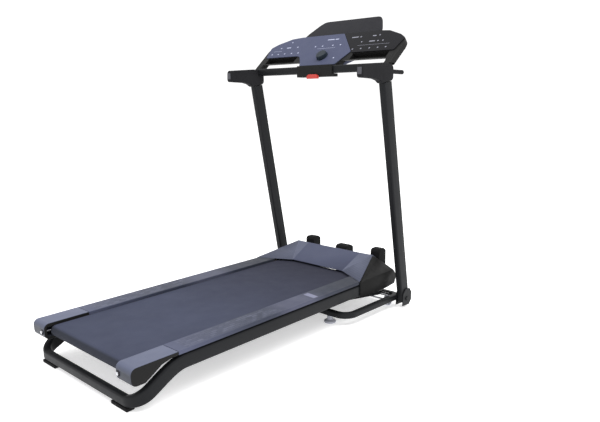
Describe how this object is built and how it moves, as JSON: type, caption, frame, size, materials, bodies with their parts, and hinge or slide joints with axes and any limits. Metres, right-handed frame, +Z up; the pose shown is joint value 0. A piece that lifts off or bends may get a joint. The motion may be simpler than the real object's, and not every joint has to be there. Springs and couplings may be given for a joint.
{
  "type": "treadmill",
  "caption": "Compact folding treadmill: belt deck with motor hood on a swooped tube frame, leaning two-post mast that folds over the deck, side handles and a wide console.",
  "frame": {"origin": "on the floor, below the middle of the bounding box", "axes": "+X to the user's right, +Y forward from the belt's rear end to the console, +Z up"},
  "size_m": [0.786, 1.4222, 1.263],
  "materials": {
    "frame_black": "satin powder coat",
    "bright_steel": "turned and zinc plated",
    "aluminium": "turned",
    "wheel_grey": "pale grey moulded",
    "rubber": "moulded",
    "deck_board": "faced board",
    "belt_black": "fine diamond weave",
    "circuit_green": "lacquered",
    "slate_plastic": "slate blue, finely grained",
    "black_plastic": "finely grained",
    "gloss_black": "high gloss",
    "moulded_grip": "moulded, matte",
    "key_red": "semi gloss",
    "knob_navy": "satin"
  },
  "bodies": {
    "base": {"base_frame": "frame_black", "base_pivot_rod": "bright_steel", "wheel_axle": "bright_steel", "base_foot_left": "wheel_grey", "base_foot_right": "wheel_grey", "mast_bracket_left": "frame_black", "mast_bracket_right": "frame_black", "mast_pin_left": "bright_steel", "mast_pin_right": "bright_steel"},
    "lift_arm": {"lift_arm": "frame_black"},
    "deck": {"main_frame": "frame_black", "deck_cross_tube_rear": "frame_black", "deck_cross_tube_front": "frame_black", "cushion_left": "rubber", "cushion_right": "rubber", "running_board": "deck_board", "running_belt": "belt_black", "rear_axle": "bright_steel", "front_axle": "bright_steel", "motor_body": "frame_black", "drive_belt": "rubber", "controller_board": "circuit_green", "lift_motor": "frame_black", "hood": "slate_plastic", "belly_pan": "black_plastic", "side_cover_left": "black_plastic", "side_cover_right": "black_plastic", "end_cap_left": "slate_plastic", "end_cap_right": "slate_plastic", "tension_bolt_left": "bright_steel", "tension_bolt_right": "bright_steel", "foot_rail_left": "slate_plastic", "foot_rail_right": "slate_plastic", "rear_foot_left": "rubber", "rear_foot_right": "rubber", "storage_foot_left": "rubber", "storage_foot_middle": "rubber", "storage_foot_right": "rubber", "power_inlet": "black_plastic"},
    "front_roller": {"front_roller": "aluminium", "roller_pulley": "aluminium"},
    "rear_roller": {"rear_roller": "aluminium"},
    "motor_rotor": {"motor_rotor": "bright_steel"},
    "power_switch": {"power_switch": "black_plastic"},
    "transport_wheel_left": {"transport_wheel_left": "wheel_grey"},
    "transport_wheel_right": {"transport_wheel_right": "wheel_grey"},
    "lock_plunger": {"lock_plunger": "black_plastic"},
    "mast": {"upright_left": "frame_black", "upright_right": "frame_black", "crossbar": "frame_black", "handlebar_left": "moulded_grip", "handlebar_right": "moulded_grip", "key_housing": "black_plastic", "console_back": "black_plastic", "console_rear_cover": "slate_plastic", "console_face": "slate_plastic", "display_window": "gloss_black", "tablet_holder": "gloss_black"},
    "safety_key": {"safety_key": "key_red"},
    "speed_knob": {"speed_knob": "knob_navy"}
  },
  "joints": [
    {"name": "mast_fold", "type": "hinge", "parent": "base", "child": "mast", "pos_m": [0, 0.6264, 0.042], "axis": [1, 0, 0], "range_deg": [0, 68]},
    {"name": "lift_arm_pivot", "type": "hinge", "parent": "base", "child": "lift_arm", "pos_m": [0, 0.5764, 0.06], "axis": [-1, 0, 0], "range_deg": [0, 12.05]},
    {"name": "deck_pivot", "type": "hinge", "parent": "lift_arm", "child": "deck", "pos_m": [0, 0.2764, 0.101], "axis": [1, 0, 0], "range_deg": [0, 15.58]},
    {"name": "front_roller_spin", "type": "hinge", "parent": "deck", "child": "front_roller", "pos_m": [0, 0.46998, 0.13355], "axis": [1, 0, 0], "continuous": true},
    {"name": "rear_roller_spin", "type": "hinge", "parent": "deck", "child": "rear_roller", "pos_m": [0, -0.66545, 0.12083], "axis": [1, 0, 0], "continuous": true},
    {"name": "motor_spin", "type": "hinge", "parent": "deck", "child": "motor_rotor", "pos_m": [0, 0.54496, 0.13519], "axis": [1, 0, 0], "continuous": true},
    {"name": "power_switch_rock", "type": "hinge", "parent": "deck", "child": "power_switch", "pos_m": [-0.0655, 0.626, 0.1389], "axis": [1, 0, 0], "range_deg": [0, 12]},
    {"name": "transport_wheel_left_spin", "type": "hinge", "parent": "base", "child": "transport_wheel_left", "pos_m": [-0.305, 0.5964, 0.0235], "axis": [1, 0, 0], "continuous": true},
    {"name": "transport_wheel_right_spin", "type": "hinge", "parent": "base", "child": "transport_wheel_right", "pos_m": [0.305, 0.5964, 0.0235], "axis": [1, 0, 0], "continuous": true},
    {"name": "lock_plunger_pull", "type": "slide", "parent": "base", "child": "lock_plunger", "axis": [0, 1, 0], "range_m": [0, 0.01], "stiffness_N_per_m": 900, "springref_m": -0.004},
    {"name": "safety_key_pull", "type": "slide", "parent": "mast", "child": "safety_key", "axis": [0, -1, 0], "range_m": [0, 0.03]},
    {"name": "speed_knob_turn", "type": "hinge", "parent": "mast", "child": "speed_knob", "pos_m": [0, 0.49619, 1.09063], "axis": [0, -0.666, 0.7459], "continuous": true}
  ],
  "couplings": [
    {"joint": "lift_arm_pivot", "follows": "deck_pivot", "ratio": 0.7698},
    {"joint": "rear_roller_spin", "follows": "front_roller_spin", "ratio": 1},
    {"joint": "motor_spin", "follows": "front_roller_spin", "ratio": 2.6}
  ]
}
